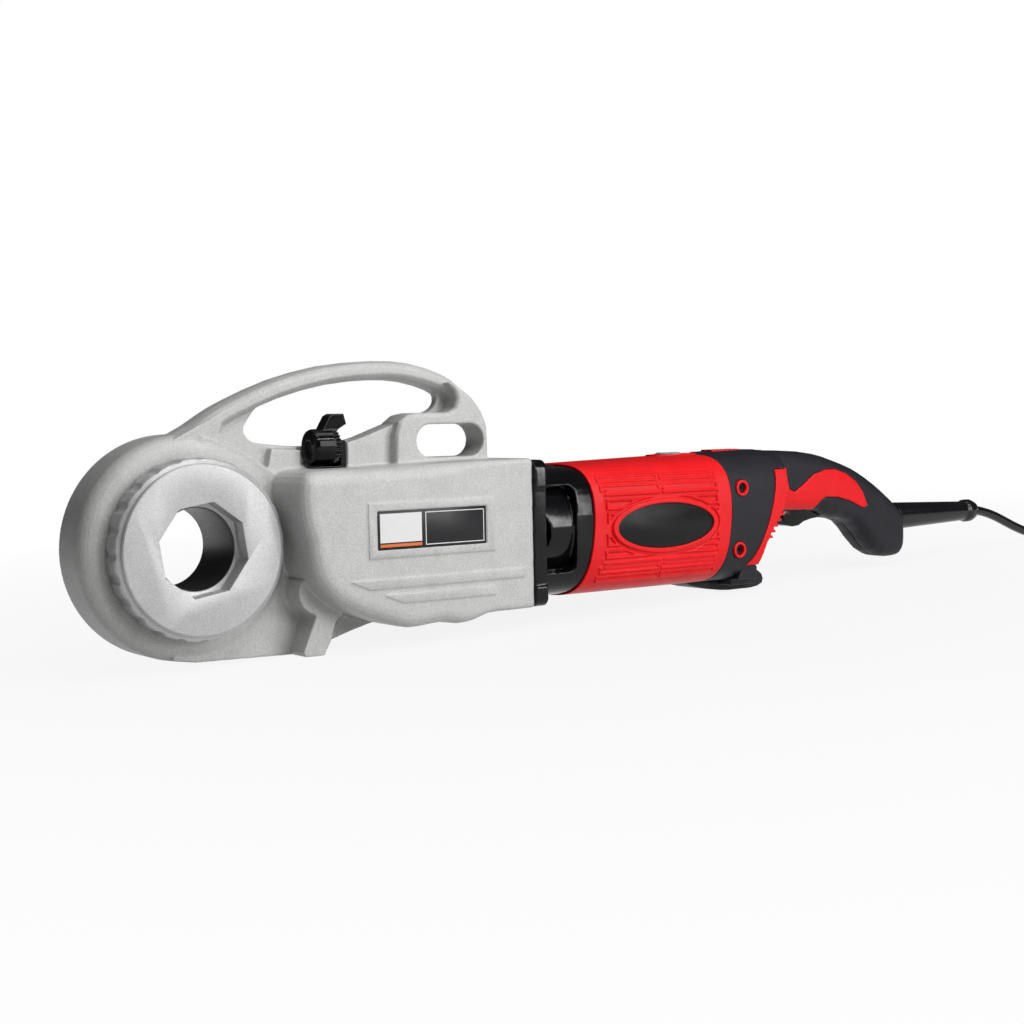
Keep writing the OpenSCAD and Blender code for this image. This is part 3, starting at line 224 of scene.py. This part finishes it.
# The record's material slots, and three finishes more for the badge and the plate
MAT = {
    "cast_aluminium": cast_metal("cast aluminium", (0.44, 0.44, 0.435), (0.66, 0.66, 0.65),
                                 rough=0.46, grain=2100, depth=0.12, metallic=0.1),
    "zinc": cast_metal("zinc cast", (0.42, 0.42, 0.425), (0.62, 0.62, 0.625),
                       rough=0.38, grain=2300, depth=0.05, metallic=0.3, painted_shade_bore=26.9),
    "gear_steel": steel("gear steel", (0.45, 0.45, 0.46), 0.3),
    "screw_steel": steel("screw steel", (0.03, 0.03, 0.032), 0.4),
    "bronze": steel("bronze", (0.66, 0.5, 0.28), 0.35),
    "bearing_steel": steel("bearing steel", (0.75, 0.75, 0.77), 0.15),
    "core_steel": steel("core steel", (0.42, 0.4, 0.38), 0.4),
    "copper": steel("copper", (0.8, 0.45, 0.25), 0.25),
    "blade_brass": steel("nickel", (0.75, 0.70, 0.6), 0.25),
    "black_gloss": moulded("black gloss", (0.004, 0.004, 0.005), 0.10,
                           grain=300, depth=0.02, vary=0.2, shine=0.24),
    "black_soft": moulded("black soft", (0.013, 0.013, 0.018), 0.5,
                          grain=1700, depth=0.04, vary=0.15, shine=0.25),
    "red_plastic": moulded("red plastic", (0.80, 0.006, 0.010), 0.40,
                           grain=1500, depth=0.04, vary=0.05, shine=0.25),
    "cord_rubber": moulded("cord rubber", (0.006, 0.006, 0.007), 0.22,
                           grain=1800, depth=0.01, vary=0.2, shine=0.4),
    "natural_plastic": moulded("natural plastic", (0.75, 0.73, 0.68), 0.4),
    "grey_plastic": moulded("grey plastic", (0.26, 0.26, 0.27), 0.4),
    "carbon": moulded("carbon", (0.04, 0.04, 0.04), 0.6),
    "label": printed("label", (0.80, 0.80, 0.81), 0.35),
    "label_dark": printed("label dark", (0.010, 0.010, 0.012), 0.3, vary=0.05, shine=0.3),
    "label_orange": printed("label orange", (0.75, 0.16, 0.02), 0.4),
    "badge": printed("badge", (0.006, 0.006, 0.007), 0.36, vary=0.1, shine=0.2),
}
slots = {p["node"]: p["material_slot"] for p in frame["record"]["subparts"]}
for name, obj in nodes.items():
    obj.data.materials.clear()
    obj.data.materials.append(MAT[slots[name]])

# ---- Geometry helpers ----
BREAK_ANGLE, SHARP_ANGLE = 28, 35  # an edge over the first is bevelled, over the second stays sharp
body_of = {n: b for b, ns in frame["record"]["behaviour"]["bodies"].items() for n in ns}


def link(name, data, material):
    obj = bpy.data.objects.new(name, data)
    data.materials.clear()
    data.materials.append(material)
    bpy.context.scene.collection.objects.link(obj)
    return obj


def merged(name):
    """The node's mesh with its split corners joined and its flat faces whole."""
    bm = bmesh.new()
    bm.from_mesh(nodes[name].data)
    bmesh.ops.remove_doubles(bm, verts=bm.verts, dist=2e-6)
    bmesh.ops.dissolve_limit(bm, angle_limit=math.radians(0.6), verts=bm.verts, edges=bm.edges)
    mesh = bpy.data.meshes.new(name + "_look")
    bm.to_mesh(mesh)
    bm.free()
    return mesh


def bake(obj):
    """Turns the object's modifiers into its mesh."""
    graph = bpy.context.evaluated_depsgraph_get()
    mesh = bpy.data.meshes.new_from_object(obj.evaluated_get(graph))
    obj.modifiers.clear()
    obj.data = mesh


def smooth_shade(mesh, angle=None):
    mesh.polygons.foreach_set("use_smooth", [True] * len(mesh.polygons))
    if angle:
        mesh.set_sharp_from_angle(angle=math.radians(angle))
    mesh.update()


def break_edges(obj, width, segments, angle):
    """Rounds the edges sharper than angle by a radius of width mm."""
    bevel = obj.modifiers.new("edge", "BEVEL")
    bevel.width, bevel.segments = width * MM, segments
    bevel.limit_method, bevel.angle_limit = "ANGLE", math.radians(angle)
    bake(obj)
    smooth_shade(obj.data, SHARP_ANGLE)


def crisp(node, width, segments=2, mat=None):
    """Stands in for a node with its edges broken by a small radius."""
    obj = link(node + "_look", merged(node), mat or MAT[slots[node]])
    break_edges(obj, width, segments, BREAK_ANGLE)
    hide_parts(node)
    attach(obj, body_of[node])


def stand_in(node, mesh, voxel, passes):
    """Stands in for a node with a mesh whose corners are run soft.

    voxel is the mesh's new grain in mm. The more smoothing passes, the softer the corners.
    """
    obj = link(node + "_look", mesh, MAT[slots[node]])
    remesh = obj.modifiers.new("remesh", "REMESH")
    remesh.mode, remesh.voxel_size, remesh.adaptivity = "VOXEL", voxel * MM, 0
    smooth = obj.modifiers.new("smooth", "SMOOTH")
    smooth.factor, smooth.iterations = 0.5, passes
    bake(obj)
    smooth_shade(obj.data)
    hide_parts(node)
    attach(obj, body_of[node])
    return obj


def cast(node, voxel, passes):
    """Stands in for a node with its own shape, as soft as a casting or a moulding."""
    return stand_in(node, merged(node), voxel, passes)


def prism(outlines, y0, y1):
    """Mesh between y0 and y1 over flat outlines in the tool's own x and z, in mm."""
    bm = bmesh.new()
    for outline in outlines:
        near = [bm.verts.new(tool(x, y0, z)) for x, z in outline]
        far = [bm.verts.new(tool(x, y1, z)) for x, z in outline]
        n = len(outline)
        bm.faces.new(near)
        bm.faces.new(far[::-1])
        for i in range(n):
            bm.faces.new((near[i], far[i], far[(i + 1) % n], near[(i + 1) % n]))
    bmesh.ops.recalc_face_normals(bm, faces=bm.faces)
    mesh = bpy.data.meshes.new("prism")
    bm.to_mesh(mesh)
    bm.free()
    return mesh


def box(x0, x1, z0, z1):
    return [(x0, z0), (x1, z0), (x1, z1), (x0, z1)]


def combine(mesh, other, how):
    """Boolean of two meshes; both are used up."""
    a, b = (bpy.data.objects.new(name, m) for name, m in (("a", mesh), ("b", other)))
    for obj in (a, b):
        bpy.context.scene.collection.objects.link(obj)
    cut = a.modifiers.new("cut", "BOOLEAN")
    cut.operation, cut.object, cut.solver, cut.use_self = how, b, "EXACT", True
    bake(a)
    out = a.data
    for obj in (a, b):
        bpy.data.objects.remove(obj)
    return out


# ---- Motor housing: sunk grip pattern round the badge, on both sides ----
# Each row of frames: its top and its underside, and where it starts and ends along the barrel
GRID_ROWS = [
    (35.8, 30.5, 305.5, 413.5), (28.2, 21.6, 305, 414), (18.9, 11.1, 306, 415),
    (9.2, 0.5, 307, 416), (-6.7, -15.4, 306.5, 416), (-17.9, -24.1, 304.8, 414.5),
    (-27.4, -33.2, 303.5, 413), (-36, -40.8, 303, 412),
]
RING_ROW = 3  # below this row the ring takes the place of a groove
GRID_MID = 358.5
GROOVE, WALL, SUNK = 2.0, 1.6, 1.5
BADGE_MID, BADGE_REACH = (362.5, -2.5), (51.2, 20.0)
HOUSING_SIDE = box(296, 434, -49, 45)
HOUSING_NEAR, HOUSING_FAR = -58.0, 40.0


def oval(more):
    """Outline of the badge's ring, grown by so many mm."""
    corners = 96
    return [tuple(mid + (reach + more) * turn(math.tau * k / corners)
                  for mid, reach, turn in zip(BADGE_MID, BADGE_REACH, (math.cos, math.sin)))
            for k in range(corners)]


def grid_cutters(y0, y1):
    """All that lies sunk: the grooves between the frames and round the ring, and the inside
    of each frame."""
    cells, grooves = [], []
    half = GROOVE / 2
    for top, low, left, right in GRID_ROWS:
        for x0, x1 in ((left, GRID_MID - half), (GRID_MID + half, right)):
            cells.append(box(x0 + WALL, x1 - WALL, low + WALL, top - WALL))
        grooves.append(box(left - GROOVE, left, low, top))
    for k, (row, below) in enumerate(zip(GRID_ROWS, GRID_ROWS[1:])):
        if k != RING_ROW:
            grooves.append([(row[2] - GROOVE, row[1]), (below[2] - GROOVE, below[0]),
                            (below[3], below[0]), (row[3], row[1])])
    upright = box(GRID_MID - half, GRID_MID + half, GRID_ROWS[-1][1], GRID_ROWS[0][0])
    lines = combine(prism(grooves, y0, y1), prism([upright], y0, y1), "UNION")
    lines = combine(lines, prism([oval(GROOVE)], y0, y1), "UNION")
    lines = combine(lines, prism([oval(0)], y0 - 1, y1 + 1), "DIFFERENCE")
    round_ring = prism([oval(GROOVE + WALL)], y0 - 1, y1 + 1)
    return lines, combine(prism(cells, y0, y1), round_ring, "DIFFERENCE")


def make_housing():
    """The sides are skimmed plain, with the ring left standing, and the pattern cut into them."""
    near, far = HOUSING_NEAR, HOUSING_FAR
    ring = prism([oval(0)], near - 5, near + 1)
    skim = combine(prism([HOUSING_SIDE], near - 4, near), ring, "DIFFERENCE")
    mesh = combine(merged("motor_housing"), skim, "DIFFERENCE")
    mesh = combine(mesh, prism([HOUSING_SIDE], far, far + 4), "DIFFERENCE")
    for y0, y1 in ((near - 2, near + SUNK), (far - SUNK, far + 2)):
        for cutter in grid_cutters(y0, y1):
            mesh = combine(mesh, cutter, "DIFFERENCE")
    stand_in("motor_housing", mesh, 0.42, 1)


# ---- Lead: down from the strain relief, into a coil on the floor, out to the plug ----
LEAD_D = 8.0
# Heights of the coil's lower and upper row
LOW_ROW, HIGH_ROW = FLOOR + 4.1, FLOOR + 12.1
LEAD_OUT = [(766, -9, -42.7), (772, -9, -43.2), (785, -9, -46), (800, -9, -51),
            (815, -9, -57.5), (830, -9, -64), (845, -9.5, -69.5), (860, -11, -73.2),
            (875, -14, -74.3), (890, -19, -74.3), (904, -24.2, -74.3), (917, -29, -74.3)]
LEAD_END = [(980, -49.5, HIGH_ROW - 0.3), (996, -46.8, FLOOR + 10.8), (1012, -44.2, FLOOR + 9.4),
            (1024, -43.2, FLOOR + 9), (1034, -43, FLOOR + 9)]
COIL_MID = (963, 1)
# Three laps inwards on the floor, then three outwards on top of them. Each lap goes from its
# own radius and row to the next one's in its last quarter.
LAP_RADII = (52, 44, 36, 36, 44, 52, 52)
LAP_ROWS = (0, 0, 0, 1, 1, 1, 1)
COIL_START = -114.0  # degrees
COIL_TURNS = 6 + 24 / 360
POINTS_PER_TURN = 24
SKIPPED = 3  # first points of the coil, where the lead runs in


def coil_point(t):
    """Point of the coil, t turns from its start."""
    lap = min(int(t), len(LAP_RADII) - 2)
    step = max(0.0, (t - lap - 0.75) / 0.25)
    step = step * step * (3 - 2 * step)
    r, row = (v[lap] + (v[lap + 1] - v[lap]) * step for v in (LAP_RADII, LAP_ROWS))
    a = math.radians(COIL_START + 360 * t)
    return Vector((COIL_MID[0] + r * math.cos(a), COIL_MID[1] + r * math.sin(a),
                   LOW_ROW + (HIGH_ROW - LOW_ROW) * row))


def lead_path():
    steps = int(COIL_TURNS * POINTS_PER_TURN)
    coil = [coil_point(COIL_TURNS * i / steps) for i in range(SKIPPED, steps + 1)]
    return [Vector(p) * MM for p in LEAD_OUT + coil + LEAD_END]


def make_lead():
    path = lead_path()
    curve = bpy.data.curves.new("power_lead", "CURVE")
    curve.dimensions = "3D"
    spline = curve.splines.new("BEZIER")
    spline.bezier_points.add(len(path) - 1)
    for bend, point in zip(spline.bezier_points, path):
        bend.co = point
        bend.handle_left_type = bend.handle_right_type = "AUTO"
    curve.bevel_depth = LEAD_D / 2 * MM
    curve.bevel_resolution = curve.resolution_u = 6
    curve.use_fill_caps = True
    obj = link("power_lead", curve, MAT["cord_rubber"])
    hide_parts("power_cord", "cord_coil", "plug_lead")
    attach(obj, "machine")
    return obj, sum((b - a).length for a, b in zip(path, path[1:])), path[0]


lead, lead_length, lead_exit = make_lead()


# ---- Vent strips with square teeth, and the foot with its heel ----
def make_strips():
    # Height of each tooth's top, and how far back the strip's edge lies there
    edge = [(0.8, 481.8), (-3.5, 478.3), (-7.8, 475), (-12.1, 472), (-16.4, 469)]
    tooth_in, tooth_out, tooth_h = 3, 2.6, 2.1
    teeth = [box(x - tooth_in, x + tooth_out, z - tooth_h, z) for z, x in edge]
    for side, y0, y1 in (("left", -58.0, -50.5), ("right", 32.5, 40.0)):
        node = "vent_strip_" + side
        stand_in(node, combine(merged(node), prism(teeth, y0, y1), "UNION"), 0.45, 1)


def make_foot():
    """The foot with the body's lower corner above it and the neck between them."""
    corner = [(440, -49.5), (446, -38.8), (459.5, -38.8), (461, -40.2), (461, -49.5)]
    neck = [(440, -48.5), (461, -46.5), (474, -49), (474, -54.5), (440, -54.5)]
    mesh = combine(merged("foot"), prism([corner], -51, 33), "UNION")
    stand_in("foot", combine(mesh, prism([neck], -43, 25), "UNION"), 0.7, 4)


# ---- Raised lines on the gear case, with crisp edges ----
def make_case_lines():
    """A frame round the plate and two stripes under it, 0.95 mm proud of the case."""
    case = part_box("label_plate")[0][1] / MM + 0.5
    crest, root = case - 0.95, case + 0.6
    frame_mesh = combine(prism([box(107, 207, -11.3, 24.7)], crest, root),
                         prism([box(113, 201, -6.8, 20.2)], case - 2, case + 2), "DIFFERENCE")
    stripes = prism([[(93.5, -25.8), (232, -25.8), (232, -31.5), (107.5, -31.5)],
                     [(119, -36.3), (207, -36.3), (207, -42), (133, -42)]], crest, root)
    for name, mesh in (("case_frame", frame_mesh), ("case_stripes", stripes)):
        obj = link(name, mesh, MAT["cast_aluminium"])
        break_edges(obj, 0.25, 2, 40)
        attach(obj, "machine")


# ---- Castings and mouldings ----
cast("gear_housing", 0.75, 6)
make_case_lines()
cast("rear_cover", 1.0, 4)
cast("motor_nose", 0.7, 3)
make_housing()
for side in ("left", "right"):
    cast("body_" + side, 0.8, 4)
    cast("grip_panel_" + side, 0.6, 3)
make_strips()
make_foot()
cast("motor_flange", 0.7, 3)
crisp("trigger", 0.6, 3)
cast("latch_base", 0.5, 2)
cast("latch_knob", 0.35, 2)
cast("direction_knob", 0.4, 2)
cast("lock_slider", 0.4, 2)
plug = cast("plug_body", 0.5, 4)
crisp("drive_ring", 0.35)
for node in ("cover_screws", "ring_retainer", "snap_ring", "latch_pin", "body_screws",
             "screw_rings", "strain_relief", "coil_tie", "plug_blades", "flange_bolts"):
    crisp(node, 0.25)


# ---- Blank plate on the gear case: dark, with a pale field, a bar and a thin line, no words ----
def plate_piece(name, outlines, material):
    """Flat piece that stands a tenth of a mm proud of the plate."""
    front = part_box("label_plate")[0][1] / MM
    obj = link(name, prism(outlines, front - 0.1, front + 0.1), material)
    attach(obj, "machine")


crisp("side_badge", 0.25, mat=MAT["badge"])
crisp("label_plate", 0.25, mat=MAT["label_dark"])
plate_piece("label_field", [box(115.5, 148, -1.5, 17.8)], MAT["label"])
plate_piece("label_bar", [box(115.5, 148, -4.4, -2.4)], MAT["label_orange"])
plate_piece("label_line", [box(151, 198.5, 17.2, 17.8), box(151, 198.5, -4.4, -3.8),
                           box(151, 151.6, -3.8, 17.2), box(197.9, 198.5, -3.8, 17.2)],
            MAT["label"])

# ---- Floor, world and lamps ----
WHITE = (1, 1, 1, 1)
STUDIO_LEVEL = 0.04  # light of the world on the object


def make_floor():
    """Near white to the eye, with the object's light shadow on it."""
    mesh = bpy.data.meshes.new("floor")
    half, z = 6, FLOOR * MM
    mesh.from_pydata([(-half, -half, z), (half, -half, z), (half, half, z), (-half, half, z)],
                     [], [(0, 1, 2, 3)])
    n = Finish("floor")
    n.set(Base_Color=n.ramp(n.noise(3, 2), (0.3, 0.50), (0.7, 0.53)), Roughness=0.9,
          Specular_IOR_Level=0.1)
    path = n.add("ShaderNodeLightPath").outputs
    seen = n.calc("MAXIMUM", path["Is Camera Ray"], path["Is Glossy Ray"])
    seen = n.calc("MAXIMUM", seen, path["Is Transmission Ray"])
    # The share of plain white grows with the distance from the object's middle
    away = n.add("ShaderNodeVectorMath", Vector=n.coord)
    away.operation = "DISTANCE"
    n.feed(away, 1, (0.4, 0, z))
    share = n.ramp(n.calc("MULTIPLY", away.outputs["Value"], 0.4), (0.10, 0.88), (0.42, 1.0))
    glow = n.add("ShaderNodeEmission", Color=WHITE, Strength=1.0)
    both = n.mix(n.calc("MULTIPLY", seen, share), n.bsdf.outputs[0], glow.outputs[0])
    n.feed(n.tree.nodes["Material Output"], "Surface", both)
    link("floor", mesh, n.mat)


def make_world():
    """White to the eye, and a dim grey studio to everything else."""
    world = bpy.data.worlds.new("studio")
    world.use_nodes = True
    bpy.context.scene.world = world
    t = Tree(world.node_tree)
    dim = t.tree.nodes["Background"]
    t.feed(dim, "Color", WHITE)
    t.feed(dim, "Strength", STUDIO_LEVEL)
    seen = t.add("ShaderNodeBackground", Color=WHITE, Strength=1.0)
    path = t.add("ShaderNodeLightPath").outputs
    both = t.mix(path["Is Camera Ray"], dim.outputs[0], seen.outputs[0])
    t.feed(t.tree.nodes["World Output"], "Surface", both)


def lamp(name, place, aim, size, watts):
    data = bpy.data.lights.new(name, "AREA")
    data.shape, data.energy = "RECTANGLE", watts
    data.size, data.size_y = size
    obj = bpy.data.objects.new(name, data)
    bpy.context.scene.collection.objects.link(obj)
    obj.location = place
    obj.rotation_euler = (Vector(aim) - Vector(place)).to_track_quat("-Z", "Y").to_euler()


make_floor()
make_world()
lamp("key", (0.95, -1.9, 0.7), (0.3, 0, 0), (1.2, 1.2), 21)
lamp("top", (0.5, -0.2, 1.7), (0.4, 0, 0), (1.6, 0.8), 9)
lamp("high strip", (0.4, -1.0, 1.25), (0.3, 0, 0), (1.6, 0.07), 11)
lamp("right strip", (1.25, -1.35, 0.2), (0.3, 0, 0), (0.07, 1.2), 5)
bpy.context.scene.view_settings.view_transform = "Standard"
